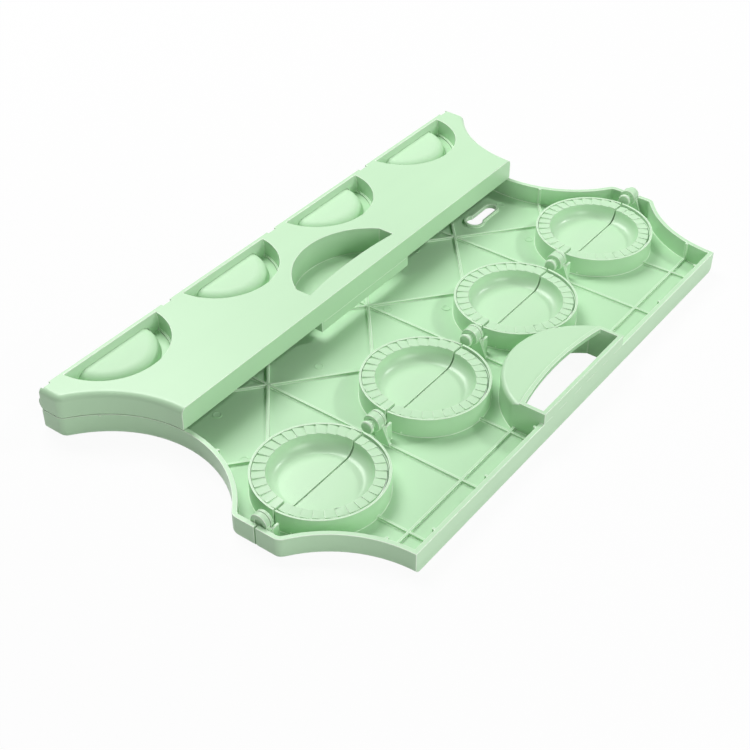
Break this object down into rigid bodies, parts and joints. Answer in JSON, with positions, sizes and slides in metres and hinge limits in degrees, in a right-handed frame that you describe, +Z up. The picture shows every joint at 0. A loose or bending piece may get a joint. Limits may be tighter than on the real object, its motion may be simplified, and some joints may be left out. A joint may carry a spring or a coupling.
{
  "type": "dumpling maker",
  "caption": "Hand press with a base tray and two hinged flaps whose half-bowl moulds with pleated rims fold dough discs into crescent dumplings, a row at a time.",
  "frame": {"origin": "centre of the base tray's underside, on the table", "axes": "+X along the hinges, -Y towards the open front flap, +Z up"},
  "size_m": [0.38, 0.2262, 0.028],
  "materials": {
    "leaf_plastic": "satin",
    "mould_plastic": "satin",
    "pin_plastic": "satin"
  },
  "bodies": {
    "base": {"base_tray": "leaf_plastic", "base_mould_front_1": "mould_plastic", "base_mould_front_2": "mould_plastic", "base_mould_front_3": "mould_plastic", "base_mould_front_4": "mould_plastic", "base_mould_rear_1": "mould_plastic", "base_mould_rear_2": "mould_plastic", "base_mould_rear_3": "mould_plastic", "base_mould_rear_4": "mould_plastic", "hinge_pin_front_1": "pin_plastic", "hinge_pin_front_2": "pin_plastic", "hinge_pin_front_3": "pin_plastic", "hinge_pin_front_4": "pin_plastic", "hinge_pin_front_5": "pin_plastic", "hinge_pin_rear_1": "pin_plastic", "hinge_pin_rear_2": "pin_plastic", "hinge_pin_rear_3": "pin_plastic", "hinge_pin_rear_4": "pin_plastic", "hinge_pin_rear_5": "pin_plastic"},
    "front_flap": {"front_flap": "leaf_plastic", "flap_mould_front_1": "mould_plastic", "flap_mould_front_2": "mould_plastic", "flap_mould_front_3": "mould_plastic", "flap_mould_front_4": "mould_plastic"},
    "rear_flap": {"rear_flap": "leaf_plastic", "flap_mould_rear_1": "mould_plastic", "flap_mould_rear_2": "mould_plastic", "flap_mould_rear_3": "mould_plastic", "flap_mould_rear_4": "mould_plastic"}
  },
  "joints": [
    {"name": "front_flap_hinge", "type": "hinge", "parent": "base", "child": "front_flap", "pos_m": [0, -0.074, 0.014], "axis": [-1, 0, 0], "range_deg": [0, 180]},
    {"name": "rear_flap_hinge", "type": "hinge", "parent": "base", "child": "rear_flap", "pos_m": [0, 0.074, 0.014], "axis": [-1, 0, 0], "range_deg": [0, 180]}
  ]
}
